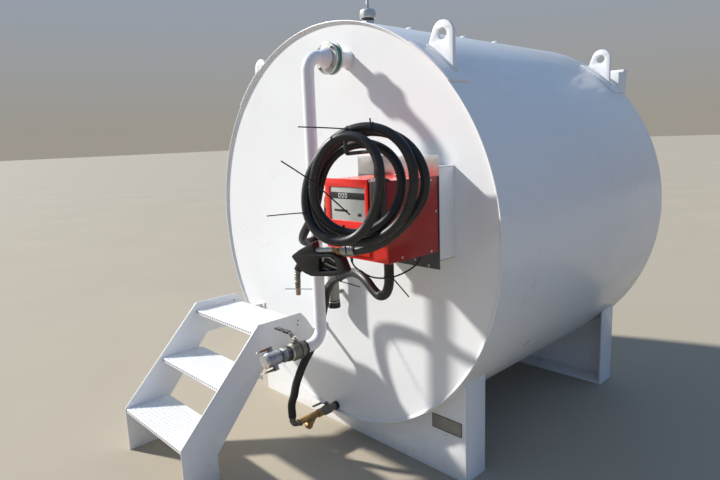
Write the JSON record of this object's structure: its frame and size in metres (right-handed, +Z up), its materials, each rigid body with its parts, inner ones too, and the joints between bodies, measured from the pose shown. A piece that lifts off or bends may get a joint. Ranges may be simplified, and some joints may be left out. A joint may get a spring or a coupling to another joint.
{
  "type": "horizontal fuel storage tank",
  "caption": "White horizontal cylindrical fuel tank on two saddles, with a fill line, a drain, a red pump unit with a coiled delivery hose, and steps.",
  "frame": {"origin": "centre of the front saddle's flat underside, on the tank's centre plane", "axes": "+Z up, +Y along the tank from its front end, with the pump, to its rear end, +X to the right as seen from the front"},
  "size_m": [2.1, 2.8403, 2.3703],
  "materials": {
    "white_paint": "white gloss enamel on steel, with faint dust and weld beads",
    "cast_aluminium": "dull cast aluminium",
    "teal_coating": "dark green coated ring between bare steel flanges",
    "valve_steel": "dull nickel plated steel",
    "cap_chrome": "polished metal cap",
    "brass": "dull brass",
    "hose_rubber": "smooth black rubber with a soft shine",
    "grey_plate": "dark grey painted sheet with a bare silver strip along its top",
    "red_paint": "red gloss enamel on sheet steel",
    "black_plastic": "satin black moulded plastic",
    "black_iron": "black painted cast iron",
    "tube_plastic": "grey-olive plastic tube with black end caps",
    "spout_metal": "ribbed dull metal spout"
  },
  "bodies": {
    "tank": {"tank_shell": "white_paint", "front_end_plate": "white_paint", "rear_end_plate": "white_paint", "front_saddle": "white_paint", "rear_saddle": "white_paint", "lifting_lug_front_right": "white_paint", "lifting_lug_front_left": "white_paint", "lifting_lug_rear_right": "white_paint", "lifting_lug_rear_left": "white_paint", "vent_cowl": "cast_aluminium", "top_cap_front": "white_paint", "top_cap_middle": "white_paint", "top_cap_rear": "white_paint", "rear_box": "white_paint", "fill_socket": "white_paint", "fill_union": "teal_coating", "fill_pipe": "white_paint", "fill_valve_body": "valve_steel", "fill_adaptor": "valve_steel", "dust_cap": "cap_chrome", "drain_valve_body": "valve_steel", "y_strainer": "brass", "drain_elbow": "valve_steel", "suction_hose": "hose_rubber", "pump_inlet": "valve_steel", "document_tube": "tube_plastic", "step_side_left": "white_paint", "step_side_right": "white_paint", "step_tread_low": "white_paint", "step_tread_middle": "white_paint", "step_tread_top": "white_paint", "pump_bracket": "white_paint", "pump_back_plate": "grey_plate", "pump_cabinet": "red_paint", "pump_console": "red_paint", "nozzle_holster": "black_plastic", "pump_body": "black_iron", "pump_outlet": "brass", "hose_hook": "black_iron", "delivery_hose_coil": "hose_rubber", "delivery_hose_lead": "hose_rubber", "delivery_hose_tail": "hose_rubber", "nozzle_body": "black_plastic", "nozzle_trigger": "valve_steel", "nozzle_spout": "spout_metal", "power_cable": "hose_rubber"},
    "fill_lever": {"fill_valve_lever": "valve_steel"},
    "drain_lever": {"drain_valve_lever": "valve_steel"},
    "left_cam_arm": {"cam_arm_left": "brass"},
    "right_cam_arm": {"cam_arm_right": "brass"}
  },
  "joints": [
    {"name": "fill_valve_turn", "type": "hinge", "parent": "tank", "child": "fill_lever", "pos_m": [0.172, -0.5643, 0.712], "axis": [0, 0, 1], "range_deg": [0, 90]},
    {"name": "drain_valve_turn", "type": "hinge", "parent": "tank", "child": "drain_lever", "pos_m": [-0.03, -0.224, 0.195], "axis": [0, 0, 1], "range_deg": [0, 90]},
    {"name": "left_cam_swing", "type": "hinge", "parent": "tank", "child": "left_cam_arm", "pos_m": [0.1475, -0.6969, 0.69444], "axis": [-0.866, 0, -0.5], "range_deg": [0, 115]},
    {"name": "right_cam_swing", "type": "hinge", "parent": "tank", "child": "right_cam_arm", "pos_m": [0.1965, -0.6969, 0.60957], "axis": [0.866, 0, 0.5], "range_deg": [0, 115]}
  ]
}
